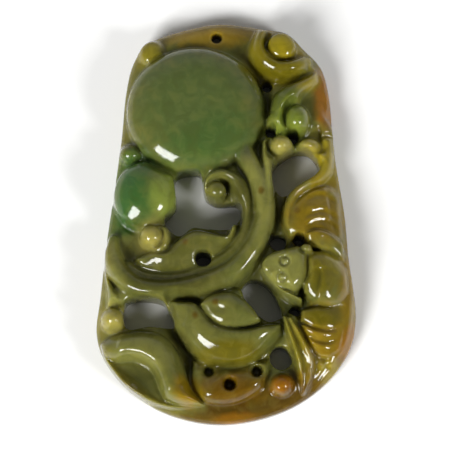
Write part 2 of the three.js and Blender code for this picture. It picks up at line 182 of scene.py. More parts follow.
# How motifs are cut.
# The carver cuts each motif in turn. One that stands against its neighbours has a V sawn round
# it, one that grows out of them flows in, and fine ridges and grooves are drawn last.
CUT_SLOPE = 2.2
REACH = 3.0
FLOW_BLEND = 0.35
# Least value of what is divided by.
TINY = 1e-6


def set_in(window, height, edge, foot):
    """Lays a motif on the face: its own height inside its edge, and outside it the neighbours
    fall in a V cut to its foot."""
    face[window] = np.where(edge < 0, height, np.minimum(face[window], foot + CUT_SLOPE * edge))


def flow_in(window, height, edge, foot):
    """Raises the face to a motif where it stands higher, with a soft fillet: half the sum of both
    heights and the hypotenuse of their difference and the blend."""
    old = face[window]
    new = np.where(edge < 0, height, foot - CUT_SLOPE * edge)
    face[window] = 0.5 * (old + new + np.hypot(old - new, FLOW_BLEND))


def soft_list(values, share):
    """Evenly spaced values read smoothly at a share of the way along them."""
    knots = np.column_stack((np.linspace(0, 1, len(values)), values))
    line = spline(knots, 24 * len(values))
    return np.interp(share, line[:, 0], line[:, 1])


def turned(centre, turn, window):
    """Each map point's place along and across the axes of something turned at a centre."""
    x, y = X[window] - centre[0], Y[window] - centre[1]
    return x * math.cos(turn) + y * math.sin(turn), y * math.cos(turn) - x * math.sin(turn)


def boss(spot, size, top, foot=0.0, turn=0.0, fullness=2.0, lay=set_in):
    """A bead, bulb or disc: from its foot the height rises by the root of 1 - r to the fullness,
    where r is the oval's own radius."""
    centre, radii = place([spot])[0], place([size])[0]
    window = around(centre[None], max(radii) + REACH)
    along, across = turned(centre, turn, window)
    radius = np.hypot(along / radii[0], across / radii[1])
    slope = np.hypot(along / radii[0] ** 2, across / radii[1] ** 2) / np.maximum(radius, TINY)
    edge = (radius - 1) / np.maximum(slope, TINY)
    dome = np.sqrt(np.clip(1 - radius**fullness, 0, 1))
    low = float(level(foot))
    lay(window, low + (float(level(top)) - low) * dome, edge, low)


def stem(points, widths, tops, foot=0.0, fullness=2.0, lay=set_in, steps=48):
    """A round-backed stem along a line: the height falls from the top by the root of 1 - q to the
    fullness, where q is the distance from the line as a share of half the width."""
    line = spline(place(points), steps)
    window = around(line, REACH)
    distance, share = follow(line, window)
    half = soft_list(widths, share) / 2
    low = float(level(foot))
    back = np.sqrt(np.clip(1 - (distance / half) ** fullness, 0, 1))
    lay(window, low + (level(soft_list(tops, share)) - low) * back, distance - half, low)


def leaf(guides, levels, keep=(1, 1), foot=0.0, shoulder=0.9, lay=set_in, steps=40):
    """A leaf between its first and last guide lines. A point's share of the way across comes from
    its distances to the guides on either side of it, and its height is the level read there, kept
    by the share read along it and rounded down to the foot at the edge."""
    lines = [spline(place(guide), steps) for guide in guides]
    loop = np.vstack((lines[0], lines[-1][::-1]))
    window = around(loop, REACH)
    edge = edge_of(loop, window)
    measured = [follow(line, window) for line in lines]
    across = measured[0][0] / np.maximum(measured[0][0] + measured[1][0], TINY)
    if len(lines) == 3:
        upper = inside(np.vstack((lines[0], lines[1][::-1])), window)
        beyond = measured[1][0] / np.maximum(measured[1][0] + measured[2][0], TINY)
        across = np.where(upper, across / 2, 0.5 + beyond / 2)
    along = np.mean([share for _, share in measured], axis=0)
    low = float(level(foot))
    height = level(soft_list(levels, across) * soft_list(keep, along))
    rounded = np.sqrt(1 - (1 - np.clip(-edge / shoulder, 0, 1)) ** 2)
    lay(window, low + (height - low) * rounded, edge, low)


def stroke(points, width, rise, steps=24):
    """A fine ridge, or a groove where the rise is below zero, that fades out at both ends: the
    rise times a bell across it and an even swell along it."""
    line = spline(place(points), steps)
    window = around(line, REACH)
    distance, share = follow(line, window)
    swell = soft_step(4 * share) * soft_step(4 * (1 - share))
    face[window] += rise * swell * np.exp(-((2 * distance / width) ** 2))


def hollow(spot, size, depth, turn=0.0):
    """A soft hollow, deepest in its middle."""
    centre, radii = place([spot])[0], place([size])[0]
    along, across = turned(centre, turn, everywhere)
    face[...] -= depth * (1 - soft_step(np.hypot(along / radii[0], across / radii[1])))


# The ground between the motifs is scraped deeper where two of them crowd together.
hollow((-6.2, -19.4), (3, 7), 1, turn=0.45)
hollow((-4.4, -23.4), (2.4, 2.4), 0.8)
hollow((7.8, -3), (1.8, 5), 0.6)
hollow((6.2, 17), (1.5, 5), 0.7)

# The double gourd.
# A broad bulb, flattened and polished like a cabochon, with a small round bulb under it and nubs
# at the edge. It is the highest quality of the stone, so the carver left it plain.
boss((-11.3, 25.6), (1.9, 2), 0.24, lay=flow_in)
boss((-14.5, 9.7), (1.7, 1.5), 0.36, lay=flow_in)
boss((-12.1, 3.2), (4.95, 5.3), 0.84, foot=0.1)
boss((-4.6, 16.3), (10.6, 10.1), 0.84, foot=0.04, fullness=3)
stroke(((-16, 0.4), (-14.8, -0.6), (-13.4, -1.6)), 0.9, 0.4)
stroke(((-15.8, -1), (-14.6, -1.9), (-13.2, -2.6)), 0.7, -0.35)

# The vine.
# A thick stem that leaves the broad bulb with a forked top, sweeps down and round to the left
# edge, and throws a scroll inwards. A second stem falls from it to a bulb at the left edge.
VINE = (
    (4.9, 6.4), (5.7, 3.6), (5.9, 1.2), (5.4, -2), (3.8, -5.5), (0.9, -8.7), (-3.2, -10.5),
    (-7, -11.4), (-11, -11.4), (-14, -10.5), (-16.1, -8.3), (-17, -5.8), (-17, -3.4),
)
SCROLL = (
    (-2.6, 2.8), (-3, 4), (-2.5, 5.4), (-1.1, 6.1), (0.5, 5.8), (1.7, 4.8), (2.4, 3.4), (2.9, 1.9),
    (3.1, 0.4), (2.9, -1.2), (2.2, -3),
)
VALLEY = (
    (-14.6, -8), (-12.6, -9.2), (-9.4, -9.6), (-6, -9.3), (-3.4, -8.2), (-1.2, -7.1), (0.8, -5.7),
    (2.4, -3.7), (3.3, -1.6), (3.6, 0.4), (3.9, 2.2), (3.4, 3.9), (2.2, 5.7), (1, 6.8),
)
stem(
    ((-17.6, -6.4), (-17.2, -9.1), (-16.8, -11.6), (-16.6, -14.4)), (1.6, 1.9, 2.2),
    (0.3, 0.44, 0.5),
)
stem(
    VINE, (2.6, 3.3, 3.5, 4, 4, 3.6, 3.4, 1.6), (0.7, 0.8, 0.82, 0.8, 0.78, 0.72, 0.6, 0.2),
    fullness=2.6,
)
stem(
    ((2.2, 10.6), (3.2, 8.4), (4.3, 6), (5, 3.4), (5.2, 0.8)),
    (3.6, 3.6, 3, 2.4), (0.46, 0.76, 0.82, 0.78), fullness=2.6, lay=flow_in,
)
stem(
    ((6.6, 11), (6.2, 8.4), (6.3, 5.6), (6.5, 2.6), (6.2, -0.2)),
    (2.6, 2, 1.8, 1.5), (0.7, 0.76, 0.8, 0.78), lay=flow_in,
)
stem(
    SCROLL, (0.9, 1.4, 1.9, 2.2, 2.4, 3, 3, 2.5, 1.9, 1.4, 1),
    (0.5, 0.7, 0.76, 0.78, 0.78, 0.78, 0.74, 0.66, 0.56, 0.45, 0.35), lay=flow_in,
)
boss((-1.4, 3.6), (1.45, 1.45), 0.78, foot=0.5)
boss((-15.6, -12.2), (1.8, 1.8), 0.34, lay=flow_in)
boss((-16.8, -15.7), (1.95, 1.9), 0.6)

# The waved leaf inside the vine, and the curled bead at its root.
WAVE_TOP = (
    (-13.6, -6.4), (-11, -5.4), (-9, -5.4), (-7.7, -4), (-6.3, -2.8), (-4.7, -2.1), (-3, -2.3),
    (-1.2, -2.8), (0, -3), (0.5, -2), (0.8, -1.1),
)
WAVE_FOOT = (
    (-13.8, -7.4), (-12.4, -8.5), (-10, -8.9), (-6.8, -8.8), (-4, -7.9), (-2, -6.8), (-0.4, -5.6),
    (1, -4.2), (1.7, -2.8), (1.9, -1.3),
)
leaf(
    (WAVE_TOP, WAVE_FOOT), (0.5, 0.7, 0.64, 0.5, 0.34), keep=(0.5, 0.86, 1, 1, 0.95, 0.9),
    foot=0.1, shoulder=0.7, lay=flow_in,
)
stem(VALLEY, (2.6,) * 4, (0.4, 0.48, 0.5, 0.42), lay=flow_in)
boss((-9.8, -3.8), (1.8, 2.3), 0.68, foot=0.3, lay=flow_in)
boss((-11.2, -3.3), (1.75, 1.7), 0.76, foot=0.4)

# The crown at the top right.
# A crescent leaf curls round a bead, a second leaf folds down to a lobe and two beads, and a
# ridge follows the rim down to the buds and the stalk of the wing.
boss((13, 18.4), (2.6, 5), 0.26, lay=flow_in)
leaf(
    (
        ((13.8, 22.9), (12.2, 21.7), (10.2, 20.8), (8.6, 20), (7.2, 18.7), (6.7, 16.9), (6.8, 14.8)),
        (
            (13.9, 20.8), (12.6, 19.4), (11.6, 18.4), (11.1, 17.4), (10.8, 16.4), (10.2, 15.4),
            (9.6, 14.4),
        ),
    ),
    (0.46, 0.66, 0.78, 0.74, 0.5), keep=(0.76, 0.88, 1, 1, 0.9), foot=0.2,
)
leaf(
    (
        (
            (4.6, 29.4), (3.7, 27.4), (3.3, 25.8), (3.7, 24), (4.9, 22.4), (6.6, 21.3), (8.8, 21),
            (11.2, 21.7), (13.2, 23.2),
        ),
        (
            (7, 29), (6.1, 27.6), (6, 26.2), (6.7, 25), (8, 24.2), (9.6, 24.2), (11, 24.8),
            (12, 25.2), (13, 25),
        ),
    ),
    (0.3, 0.52, 0.64, 0.64, 0.5), keep=(0.5, 0.9, 1, 1, 1, 0.9, 0.5), foot=0.1, shoulder=1,
)
boss((8.4, 26.3), (2.25, 2.2), 0.58, foot=0.34)
boss((8, 14.6), (1.9, 2), 0.72, foot=0.1, lay=flow_in)
boss((10.8, 14.7), (1.9, 2.4), 0.82, foot=0.3)
stem(
    ((14.6, 20.4), (14.1, 18.6), (13.8, 16.8), (14.3, 15.2), (15.3, 13.4), (15.4, 10.8)),
    (1.2, 1.6, 1.8, 2.2, 2.4), (0.14, 0.22, 0.26, 0.36, 0.5), lay=flow_in,
)
hollow((15, 17.4), (0.9, 2.2), 0.4)
stem(
    (
        (15.3, 11.6), (15.3, 9.4), (15, 7.4), (13.8, 5.8), (11.8, 4.5), (10.1, 3), (9.3, 1),
        (9.1, -1.2), (9.7, -3),
    ),
    (1.9, 2, 2, 2, 1.9, 1.7, 1.3), (0.5, 0.6, 0.64, 0.64, 0.62, 0.6, 0.5), foot=0.05,
)
boss((12.5, 10.8), (1.85, 1.35), 0.62, foot=0.1)
boss((14.4, 9.1), (0.65, 0.65), 0.68, foot=0.4, lay=flow_in)
boss((8.3, 10.6), (1.9, 1.85), 0.84, foot=0.2)

# The bat.
# A symbol of luck, seen from above with its snout to the left: a ribbed upper wing, a head with
# ringed eyes and small ears, a round banded body, and the lower wing in shrinking folds.
leaf(
    (
        ((9, -1.4), (9.6, 1.4), (11.2, 3.3), (13.4, 4.6), (15.6, 4.7), (17, 3.4)),
        ((9.2, -2.4), (10, -3.4), (12, -4), (14.2, -4), (16.2, -4.2), (17.6, -3.6)),
    ),
    (0.42, 0.56, 0.6, 0.6, 0.56), keep=(0.96, 1, 1, 1, 0.8), shoulder=0.8, lay=flow_in,
)
for drop, width in ((0, 0.8), (2.5, 1), (4, 0.7)):
    rib = np.array(((11.5, 2.2), (13, 3.4), (14.6, 3.7), (16, 3.1), (17.2, 1.8))) - (0, drop)
    stroke(rib, width, 0.22)
    stroke(rib - (0, 0.7), width, -0.26)
boss((17.2, -6.4), (1.4, 1.4), 0.46, lay=flow_in)
boss((17.3, -13.2), (1.4, 1.2), 0.46, lay=flow_in)
leaf(
    (
        ((11.8, -2.9), (13.2, -2.3), (14.8, -2.4), (16.2, -3.1), (17.6, -4.2)),
        ((11.9, -4.4), (13.4, -5.1), (14.8, -5.7), (16.1, -6.3), (17.6, -6.9)),
    ),
    (0.76, 0.88, 0.82, 0.76, 0.7), keep=(0.9, 1, 1, 1.04, 1), foot=0.5, shoulder=0.5,
)
leaf(
    (
        ((11.4, -6.6), (12.8, -5.6), (14.6, -5.5), (16.6, -6.4), (18, -8.2)),
        ((11.4, -12), (13, -13.3), (15.2, -13.8), (16.8, -13.2), (18.1, -11.6)),
    ),
    (0.6, 0.9, 1, 0.97, 0.85, 0.68), keep=(0.84, 0.96, 1, 1.02, 1), foot=0.54, shoulder=0.9,
)
BELLY = np.array(((11.7, -8.7), (13.4, -8.2), (15.4, -8.3), (17.6, -9.4)))
stroke(BELLY, 0.6, 0.08)
stroke(BELLY - (0, 0.5), 0.6, -0.12)
# Each fold has its upper edge, its lower edge and its levels across.
LOWER_FOLDS = (
    (
        ((11, -14.3), (13, -14), (15.6, -14), (17.8, -13.4)),
        ((11, -16.2), (13.2, -17.2), (15.6, -17.4), (17.6, -16.4)),
        (0.58, 0.62, 0.6, 0.54),
    ),
    (
        ((11, -16.4), (13.2, -17.1), (15.6, -17.3), (17.5, -16.6)),
        ((11.8, -18.2), (13.4, -19.1), (15.4, -19.2), (17.2, -18)),
        (0.62, 0.6, 0.44),
    ),
    (
        ((11.8, -18), (13.4, -18.9), (15.4, -19), (17.2, -18)),
        ((12.4, -19.8), (13.8, -21.1), (15.2, -21.2), (16.8, -20)),
        (0.58, 0.54, 0.34),
    ),
)
for upper, lower, levels in LOWER_FOLDS[::-1]:
    leaf((upper, lower), levels, keep=(0.9, 1, 1, 0.94, 0.6), foot=0.42, shoulder=0.5)
stem(
    ((12.6, -13.4), (13.8, -13.9), (15.4, -14.1), (17.4, -13.2)),
    (1.2, 1.4, 1.2), (0.36, 0.46, 0.46), lay=flow_in,
)
stem(
    ((9.8, -15), (11.3, -17.8), (12.8, -20.2), (13.8, -22)), (1.5, 1.4, 1.2), (0.34, 0.3, 0.2),
    lay=flow_in,
)
stem(
    ((17.5, -5.6), (18, -8.4), (18.1, -11), (17.9, -14), (17.5, -17), (16.8, -19.6), (15.4, -21.8)),
    (1.6, 2.2, 2.2, 2, 1.4), (0.3, 0.4, 0.4, 0.3, 0.2), lay=flow_in,
)
leaf(
    (
        ((5.2, -7.3), (6, -6.2), (7.6, -5.5), (9.4, -5.1), (10.8, -4.9), (11.8, -5.8), (12, -7.4)),
        ((5.1, -8.2), (5.9, -9.7), (7.2, -10.8), (8.8, -11.8), (10.2, -12), (11.3, -10.9), (12, -9.4)),
    ),
    (0.86, 0.94, 0.94, 0.86), keep=(0.78, 0.92, 1, 1, 0.98), foot=0.56, shoulder=1.6,
)
leaf(
    (
        ((6.8, -10.4), (8.2, -11.4), (9.8, -12.1), (11.4, -12.7)),
        ((7, -10.9), (8.4, -12.2), (9.8, -13.1), (11.2, -13.6)),
    ),
    (0.78, 0.8, 0.6), keep=(0.9, 1, 0.94, 0.8), foot=0.5, shoulder=0.4,
)
boss((11.9, -5.4), (1, 0.8), 0.88, foot=0.66, turn=-0.4)
for bump in ((5.8, -7), (5.7, -8.4), (6.6, -9.2)):
    stroke(np.array((bump, bump)) + ((-0.4, 0.2), (0.4, -0.2)), 0.7, 0.3)

# The lower leaves.
# A crescent leaf with an almond leaf on it, a narrow two-ridged blade beside the lower wing, and
# a broad leaf at the foot's left side whose outer half is scooped out.
leaf(
    (
        ((-4.9, -21.6), (-2.4, -21.6), (1, -22.4), (4, -21.8), (6.6, -21.4)),
        (
            (-5.2, -24.2), (-4.8, -26.2), (-3.6, -27.7), (-1.2, -28.3), (1.4, -28.1), (3.6, -27.2),
            (5.3, -26), (6.4, -23.8),
        ),
    ),
    (0.14, 0.3, 0.4, 0.42, 0.3), keep=(0.5, 0.9, 1, 1, 0.8), foot=0.04, shoulder=1.2,
)
stem(
    ((-9.4, -13.2), (-6.4, -13), (-3.8, -12.8), (-0.6, -12), (1.8, -11.8)), (2, 2, 2),
    (0.4, 0.5, 0.5), lay=flow_in,
)
leaf(
    (
        (
            (-8.5, -13.3), (-8.2, -15.8), (-7.2, -18), (-5.6, -20.3), (-3.8, -21.8), (-1.4, -22.7),
            (1.2, -22.9), (4.2, -21.9), (6.4, -20.1), (8.2, -18), (8.3, -16.6),
        ),
        (
            (-8.2, -12.9), (-6.4, -13), (-4.6, -13.2), (-3.4, -14.4), (-2.2, -16), (0.6, -17),
            (3.4, -17), (6, -16.3), (8.1, -16.3),
        ),
    ),
    (0.34, 0.66, 0.84, 0.88, 0.8), keep=(0.8, 0.96, 1, 1, 1, 0.94, 0.7), foot=0.14, shoulder=1.1,
)
leaf(
    (
        ((-4, -13.7), (-2.6, -12.5), (-0.8, -12), (0.8, -12), (2.4, -12.7), (3.9, -14), (5.2, -16)),
        ((-3.9, -14), (-2.8, -15.6), (-1.2, -16.8), (0.8, -17.2), (2.8, -17.1), (4.4, -16.7), (5.2, -16.3)),
    ),
    (0.74, 0.9, 0.94, 0.88, 0.8), keep=(0.9, 1, 1, 0.97, 0.9), foot=0.72,
)
hollow((-1, -14.6), (1.7, 1), 0.45, turn=-0.3)
leaf(
    (
        ((8.1, -15), (8.7, -17.4), (9.5, -20), (10.2, -22.6), (10.9, -25), (11.2, -26.6)),
        ((9.7, -15.4), (11.2, -18), (12.5, -20.2), (13.2, -21.8), (12.8, -24), (11.6, -26.6)),
    ),
    (0.4, 0.66, 0.46, 0.5, 0.62, 0.36), keep=(1, 1, 0.96, 0.8, 0.4), foot=0.3, shoulder=0.5,
)
for shift in (0, 1.3):
    stroke(np.array(((15, -21.9), (13.6, -23.6), (12.4, -25.4), (11.4, -27.2))) + (shift, 0), 0.7, 0.4)
boss((13.9, -22.3), (0.7, 0.6), 0.2, lay=flow_in)
LEAF_CREST = (
    (-18.3, -20.9), (-16.4, -21.9), (-14.3, -21.7), (-12.7, -22.1), (-11.3, -23), (-10.4, -24.4),
    (-9.8, -26.1), (-9.1, -27.5), (-7, -28.3), (-3.4, -28.5),
)
LEAF_FOOT = (
    (-18, -21.6), (-16.8, -23.5), (-15, -25.6), (-12.8, -27.2), (-10.6, -28.2), (-8.6, -28.7),
    (-6.4, -28.8), (-3.6, -28.6),
)
LEAF_TOP = (
    (-18.8, -19.2), (-17, -18), (-14.6, -17.4), (-12.4, -17.2), (-10.4, -17.5), (-8.6, -18.5),
    (-7.3, -20.2), (-6.4, -22.4), (-5.6, -24.8), (-4.8, -26.6), (-3.2, -28.3),
)
leaf((LEAF_CREST, LEAF_FOOT), (0, 0.04, 0.06, 0.16, 0.22), foot=-0.1, shoulder=0.4)
leaf(
    (LEAF_TOP, LEAF_CREST), (0.44, 0.58, 0.68, 0.72, 0.7), keep=(0.5, 0.86, 1, 1, 1, 0.85, 0.6),
    foot=-0.02, shoulder=1.7,
)
stroke(((-17.4, -22.6), (-15.4, -25), (-13, -26.9), (-10.4, -28.2)), 1.4, 0.5)
boss((8.2, -25.4), (1.85, 1.75), 0.44)

# The sunken right side.
# What is carved near the right rim sinks towards the blank, so that its outward slopes stay
# gentle. The share of its height that is lost grows towards the side and towards the rim.
SUNK_FROM = 8.0
SUNK_ACROSS = 6.0
RIM_REACH = 7.0
MOST_SUNK = 0.55
sideways = soft_step((X - SUNK_FROM) / SUNK_ACROSS)
lost = MOST_SUNK * sideways * (1 - soft_step(-rim_edge / RIM_REACH))
face = np.where(face > blank, blank + (face - blank) * (1 - lost), face)

# The openings and the drilled holes.
# Five openings are sawn right through between the stems, and their walls polished. Small holes
# are drilled where the saw turned, pits mark the pod's seeds, and rings are cut for the eyes.
OPENINGS = (
    (
        (-7.6, 6.2), (-5.5, 7), (-4, 6.8), (-3.6, 4.6), (-3.1, 3.1), (-1.4, 2.1), (1.6, 2.1),
        (2.2, 0.6), (0.8, -1.5), (-2.8, -1.6), (-5, -1.4), (-7.2, -2.7), (-9.2, -0.5), (-7.5, 1.8),
    ),
    (
        (7.1, 7.4), (7.1, 5.6), (8.4, 3.4), (10.3, 4.6), (12.4, 5.8), (13.9, 7.8), (12.6, 10),
        (10.4, 10.2), (8.3, 9),
    ),
    ((-14.8, -12.9), (-9.6, -12.9), (-8.6, -14.4), (-7.9, -16.5), (-11.4, -16.4), (-14.8, -16.7)),
    ((2.4, -11), (3.6, -9.5), (5.6, -10), (7.7, -13), (8.1, -15), (6.4, -15.7), (4.4, -14.3)),
    ((6.5, -21.2), (7.1, -19.9), (8.4, -19.5), (9.4, -20.6), (9.6, -22), (8.4, -22.9), (7.1, -22.5)),
)
# The drilled holes, by their radius.
HOLES = {
    0.75: ((-1.5, 28.2),),
    0.7: ((10.2, -14.3), (10.9, -3.5), (6.2, 20.5), (6.7, 13.3), (10.1, 12.3)),
    1.15: ((7.8, -3.7), (-3.4, -6.6)),
}
SEEDS = ((-2.6, -23.3), (0.5, -25.3), (4.5, -23.3))
PIT_RADIUS = 1.2
PIT_FLOOR_RADIUS = 0.55
PIT_WALL_SLOPE = 5
PIT_DEPTH = 0.4
# Round each pit the stone dips a little, from this radius over this width.
DIP = 0.25
DIP_RADIUS = 0.85
DIP_WIDTH = 0.5
EYES = ((8.6, -7.4), (8.2, -9.8))
EYE_RING = 1.3
EYE_GROOVE = 0.4


def reach_of(spot):
    """The distance of each map point from a spot on the drawing."""
    centre = place([spot])[0]
    return np.hypot(X - centre[0], Y - centre[1])


for seed in SEEDS:
    pit = reach_of(seed)
    face[...] -= DIP * (1 - soft_step((pit - DIP_RADIUS) / DIP_WIDTH))
    bowl = level(0) - PIT_DEPTH + PIT_WALL_SLOPE * np.maximum(pit - PIT_FLOOR_RADIUS, 0)
    face[...] = np.where(pit < PIT_RADIUS, np.minimum(face, bowl), face)

open_edge = np.full(X.shape, np.inf)
for loop in OPENINGS:
    line = spline(place(loop), LOOP_STEPS * len(loop), closed=True)
    window = around(line, REACH)
    open_edge[window] = np.minimum(open_edge[window], edge_of(line, window))
for radius, spots in HOLES.items():
    for spot in spots:
        open_edge = np.minimum(open_edge, reach_of(spot) - radius)

# The polished surface.
# The face is lapped smooth and joined to the rim, the back and the openings as one closed skin.
POLISH = 0.13
LAP_BORDER = 40
EDGE_ROUNDING = 0.35
# The skin's grid, with the cells left free round the solid, beside it and above and below it.
CELL = 0.14
ROOM_CELLS = 4
DEPTH_CELLS = 3
RELAX_ROUNDS = 2
SKIN_TRIANGLES = 190000
# Farther than this from an opening, the distance to it no longer matters.
FAR = 5
# The skin stays this far within the solid's own box.
SKIN_GAP = 0.002
# The hand leaves the surface a little uneven: each pair is a spread and a rise.
HAND_WAVES = ((2.2, 0.035), (0.7, 0.012))
HAND_SEED = 7


def lapped(field, spread):
    """The map smoothed by a bell of this spread, as a product of frequencies."""
    padded = np.pad(field, LAP_BORDER, mode="edge")
    rows = np.fft.fftfreq(padded.shape[0], GRAIN)[:, None]
    columns = np.fft.rfftfreq(padded.shape[1], GRAIN)[None]
    bell = np.exp(-2 * (math.pi * spread) ** 2 * (rows**2 + columns**2))
    smooth = np.fft.irfft2(np.fft.rfft2(padded) * bell, padded.shape)
    return smooth[LAP_BORDER:-LAP_BORDER, LAP_BORDER:-LAP_BORDER]


def read_map(field, x, y):
    """A map's value at any point, blended from the four grid points round it. A point beyond the
    map is read just within its edge."""
    within = 1.001
    u = np.clip((x - xs[0]) / GRAIN, 0, len(xs) - within)
    v = np.clip((y - ys[0]) / GRAIN, 0, len(ys) - within)
    i, j = u.astype(int), v.astype(int)
    u, v = u - i, v - j
    low = field[i, j] * (1 - u) + field[i + 1, j] * u
    high = field[i, j + 1] * (1 - u) + field[i + 1, j + 1] * u
    return low * (1 - v) + high * v


def rounded_most(first, second, radius):
    """The greater of two distances, with a fillet of about this radius where they meet."""
    return 0.5 * (first + second + np.sqrt((first - second) ** 2 + radius**2))


def surface_net(field, origin, cell):
    """The zero surface of a field on a grid of cells: a vertex in each cell it crosses, at the
    mean of the crossings of its edges, and a quad round each crossed grid edge."""
    within = field < 0
    corners = [(i, j, k) for i in (0, 1) for j in (0, 1) for k in (0, 1)]
    shape = tuple(n - 1 for n in field.shape)

    def corner(values, offset):
        return values[tuple(slice(o, o + n) for o, n in zip(offset, shape))]

    count = sum(corner(within, offset).astype(np.int8) for offset in corners)
    crossed = np.argwhere((count > 0) & (count < 8))
    total = np.zeros((len(crossed), 3))
    hits = np.zeros(len(crossed))
    values = {c: field[tuple((crossed + c).T)].astype(float) for c in corners}
    for start in corners:
        for axis in range(3):
            if start[axis]:
                continue
            end = tuple(value + (k == axis) for k, value in enumerate(start))
            a, b = values[start], values[end]
            hit = (a < 0) != (b < 0)
            where = np.where(hit, a / np.where(hit, a - b, 1), 0)
            spot = np.array(start, float) + where[:, None] * np.eye(3)[axis]
            total += spot * hit[:, None]
            hits += hit
    vertices = origin + cell * (crossed + total / hits[:, None])
    number = np.full(shape, -1, np.int32)
    number[tuple(crossed.T)] = np.arange(len(crossed))
    quads = []
    for axis in range(3):
        b, c = (axis + 1) % 3, (axis + 2) % 3
        low = [slice(None)] * 3
        high = [slice(None)] * 3
        low[axis], high[axis] = slice(None, -1), slice(1, None)
        change = within[tuple(low)] != within[tuple(high)]
        spots = np.argwhere(change)
        spots = spots[(spots[:, b] > 0) & (spots[:, c] > 0)]
        step_b, step_c = np.eye(3, dtype=int)[b], np.eye(3, dtype=int)[c]
        none = np.zeros(3, int)
        ring = [number[tuple((spots - back).T)] for back in (step_b + step_c, step_c, none, step_b)]
        quad = np.column_stack(ring)
        outward = within[tuple(spots.T)]
        quads.append(np.where(outward[:, None], quad, quad[:, ::-1]))
    return vertices, np.vstack(quads)


def relaxed(vertices, quads, rounds):
    """Each vertex moved to the mean of its neighbours along the quads' edges, round by round."""
    pairs = np.vstack([quads[:, [k, (k + 1) % 4]] for k in range(4)])
    counts = sum(np.bincount(pairs[:, end], minlength=len(vertices)) for end in (0, 1))
    for _ in range(rounds):
        total = np.zeros_like(vertices)
        for axis in range(3):
            total[:, axis] = np.bincount(pairs[:, 0], vertices[pairs[:, 1], axis], len(vertices))
            total[:, axis] += np.bincount(pairs[:, 1], vertices[pairs[:, 0], axis], len(vertices))
        vertices = 0.5 * vertices + 0.5 * total / counts[:, None]
    return vertices


hand = np.random.default_rng(HAND_SEED)
for spread, rise in HAND_WAVES:
    waves = lapped(hand.standard_normal(face.shape), spread)
    face += rise * waves / waves.std()
face = lapped(face, POLISH)
for eye in EYES:
    face -= EYE_GROOVE * (1 - soft_step(np.abs(reach_of(eye) - EYE_RING / 2) / EYE_GROOVE))
slope_x, slope_y = np.gradient(face, GRAIN)
steepness = np.sqrt(1 + slope_x**2 + slope_y**2)

gx = np.arange(LEFT - ROOM_CELLS * CELL, RIGHT + ROOM_CELLS * CELL, CELL)
gy = np.arange(FOOT - ROOM_CELLS * CELL, HEAD + ROOM_CELLS * CELL, CELL)
gz = np.arange(-DEPTH_CELLS * CELL, THICKNESS + DEPTH_CELLS * CELL, CELL)
GX, GY = np.meshgrid(gx, gy, indexing="ij")
top = read_map(face, GX, GY)[:, :, None]
steep = read_map(steepness, GX, GY)[:, :, None]
rim_wall = read_map(rim_edge, GX, GY)
open_wall = -read_map(np.minimum(open_edge, FAR), GX, GY)
walls = np.maximum(rim_wall, open_wall)[:, :, None]
above = (gz - top) / steep
below = BACK - gz[None, None, :]
body = rounded_most(rounded_most(above, walls, EDGE_ROUNDING), below, EDGE_ROUNDING)
vertices, quads = surface_net(body.astype(np.float32), np.array((gx[0], gy[0], gz[0])), CELL)
vertices = relaxed(vertices, quads, RELAX_ROUNDS)
low, high = vertices.min(axis=0), vertices.max(axis=0)
middle = np.array((LEFT + RIGHT, FOOT + HEAD, THICKNESS)) / 2
size = np.array((WIDTH, LENGTH, THICKNESS)) - 2 * SKIN_GAP
vertices = (vertices - (low + high) / 2) * size / (high - low) + middle

mesh = bpy.data.meshes.new("jade_carving")
mesh.from_pydata((vertices * MM).tolist(), [], quads.tolist())
mesh.polygons.foreach_set("use_smooth", np.ones(len(mesh.polygons), bool))
pendant = bpy.data.objects.new("jade_carving", mesh)
bpy.context.scene.collection.objects.link(pendant)
thin = pendant.modifiers.new("thin", "DECIMATE")
thin.ratio = SKIN_TRIANGLES / (2 * len(quads))
bpy.context.view_layer.update()
evaluated = pendant.evaluated_get(bpy.context.evaluated_depsgraph_get())
skin = bpy.data.meshes.new_from_object(evaluated)
pendant.modifiers.clear()
pendant.data = skin

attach(pendant, "root")
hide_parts("jade_pendant")

# The jade.
# Olive jadeite with grass-green patches in the gourd and rusty skin left along the rim. Light
# goes a little way in, and the lap left it glossy.
# A point's recess is how far it lies below the height averaged over this spread, as a share.
# The recess sets how much painted shade darkens the colour there.
RECESS_SPREAD = 1.1
RECESS_SCALE = 2.0


def attribute(name, values):
    """Stores one number for each vertex."""
    layer = pendant.data.attributes.new(name, "FLOAT", "POINT")
    layer.data.foreach_set("value", np.asarray(values, np.float32))


count = len(pendant.data.vertices)
flat = np.empty(3 * count)
pendant.data.vertices.foreach_get("co", flat)
vx, vy, vz = flat.reshape(-1, 3).T / MM
height_around = read_map(lapped(face, RECESS_SPREAD), vx, vy)
# Stored for the painted shade that darkens hollows and creases.
attribute("recess", np.clip((height_around - vz) / RECESS_SCALE, -1, 1))
attribute("rim", -read_map(rim_edge, vx, vy))


def add_node(tree, kind, inputs, **settings):
    """Adds a node with these settings. Each input goes by its name or number, and is a socket to
    link or a constant."""
    made = tree.nodes.new(kind)
    for name, value in settings.items():
        setattr(made, name, value)
    for key, value in inputs.items():
        if isinstance(value, Socket):
            tree.links.new(value.output, made.inputs[key])
        else:
            made.inputs[key].default_value = value
    return made


def arithmetic(tree, operation, *values):
    """The result of a Math node."""
    made = add_node(tree, "ShaderNodeMath", dict(enumerate(values)), operation=operation)
    return Socket(tree, made.outputs[0])


